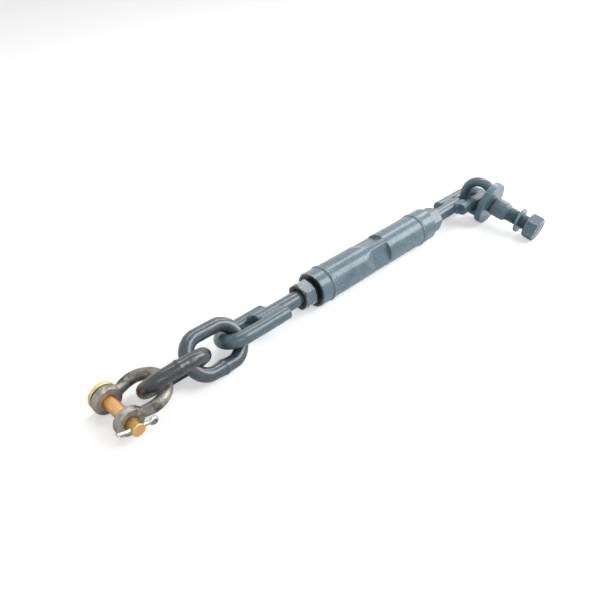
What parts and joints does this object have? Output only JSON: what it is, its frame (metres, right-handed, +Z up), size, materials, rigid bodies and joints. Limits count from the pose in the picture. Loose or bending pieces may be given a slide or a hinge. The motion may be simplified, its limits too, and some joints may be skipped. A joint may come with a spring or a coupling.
{
  "type": "tractor lower link stabilizer",
  "caption": "Turnbuckle check chain: threaded sleeve with two screwed forks, chain links with a pinned bow shackle at one end and a captive flanged eye bolt at the other.",
  "frame": {"origin": "middle of the bounding box's bottom, on the floor that the stabilizer lies on", "axes": "+X along the turnbuckle towards the eye bolt, +Z up, so the eye bolt points to -Y"},
  "size_m": [0.6218, 0.1442, 0.0605],
  "materials": {
    "blue_grey_enamel": "satin blue-grey enamel with fine orange peel, weld spatter and pale chips on the rims",
    "dark_grey_enamel": "satin dark grey enamel",
    "forged_steel": "worn brown-grey forged steel with rubbed bright tops",
    "yellow_zinc": "yellow passivated zinc plating with pink and green tints",
    "bright_steel": "bright zinc plated wire"
  },
  "bodies": {
    "left_screw": {"left_screw_rod": "blue_grey_enamel", "left_fork": "blue_grey_enamel", "left_fork_weld": "blue_grey_enamel"},
    "left_lock_nut": {"left_lock_nut": "blue_grey_enamel"},
    "sleeve": {"sleeve_tube": "blue_grey_enamel", "left_end_bush": "blue_grey_enamel", "right_end_bush": "blue_grey_enamel", "left_bush_weld": "blue_grey_enamel", "right_bush_weld": "blue_grey_enamel"},
    "right_lock_nut": {"right_lock_nut": "blue_grey_enamel"},
    "right_screw": {"right_screw_rod": "blue_grey_enamel", "right_fork": "blue_grey_enamel", "right_fork_weld": "blue_grey_enamel"},
    "link_inner": {"link_inner": "dark_grey_enamel"},
    "link_outer": {"link_outer": "dark_grey_enamel"},
    "shackle": {"shackle_bow": "forged_steel"},
    "shackle_pin": {"shackle_pin": "yellow_zinc", "cotter_pin": "bright_steel"},
    "eye_bolt": {"eye_bolt": "blue_grey_enamel"},
    "end_nut": {"end_nut": "blue_grey_enamel"},
    "spring_washer": {"spring_washer": "dark_grey_enamel"}
  },
  "joints": [
    {"name": "left_rod_feed", "type": "slide", "parent": "left_screw", "child": "left_lock_nut", "axis": [1, 0, 0], "range_m": [0, 0.04]},
    {"name": "sleeve_turn", "type": "hinge", "parent": "left_lock_nut", "child": "sleeve", "pos_m": [0.07092, 0.04155, 0.02274], "axis": [1, 0, 0], "range_deg": [0, 5760]},
    {"name": "right_nut_stay", "type": "hinge", "parent": "sleeve", "child": "right_lock_nut", "pos_m": [0.07092, 0.04155, 0.02274], "axis": [1, 0, 0], "range_deg": [-5760, 0]},
    {"name": "right_rod_feed", "type": "slide", "parent": "right_lock_nut", "child": "right_screw", "axis": [1, 0, 0], "range_m": [0, 0.04]},
    {"name": "inner_link_swing", "type": "hinge", "parent": "left_screw", "child": "link_inner", "pos_m": [-0.14208, 0.04015, 0.02144], "axis": [0, -0.3859, -0.9225], "range_deg": [-40, 60]},
    {"name": "outer_link_swing", "type": "hinge", "parent": "link_inner", "child": "link_outer", "pos_m": [-0.20866, 0.03572, 0.02751], "axis": [-0.0202, -0.6898, -0.7237], "range_deg": [-60, 60]},
    {"name": "shackle_swing", "type": "hinge", "parent": "link_outer", "child": "shackle", "pos_m": [-0.23677, 0.04199, 0.0234], "axis": [-0.0169, -0.7922, -0.6101], "range_deg": [-75, 55]},
    {"name": "pin_turn", "type": "hinge", "parent": "shackle", "child": "shackle_pin", "pos_m": [-0.28806, 0.04145, 0.0162], "axis": [0.0059, -0.9995, 0.0322], "continuous": true},
    {"name": "eye_bolt_swing", "type": "hinge", "parent": "right_screw", "child": "eye_bolt", "pos_m": [0.27822, 0.04378, 0.02219], "axis": [0, 0.2924, 0.9563], "range_deg": [-10, 95]},
    {"name": "end_nut_travel", "type": "slide", "parent": "eye_bolt", "child": "end_nut", "axis": [0.0619, -0.9832, -0.1719], "range_m": [-0.006, 0.04]},
    {"name": "washer_slide", "type": "slide", "parent": "end_nut", "child": "spring_washer", "axis": [0.0619, -0.9832, -0.1719], "range_m": [-0.0095, 0.007]}
  ],
  "couplings": [
    {"joint": "left_rod_feed", "follows": "sleeve_turn", "m_per_rad": 0.00039785},
    {"joint": "right_nut_stay", "follows": "sleeve_turn", "ratio": -1},
    {"joint": "right_rod_feed", "follows": "sleeve_turn", "m_per_rad": 0.00039785}
  ]
}
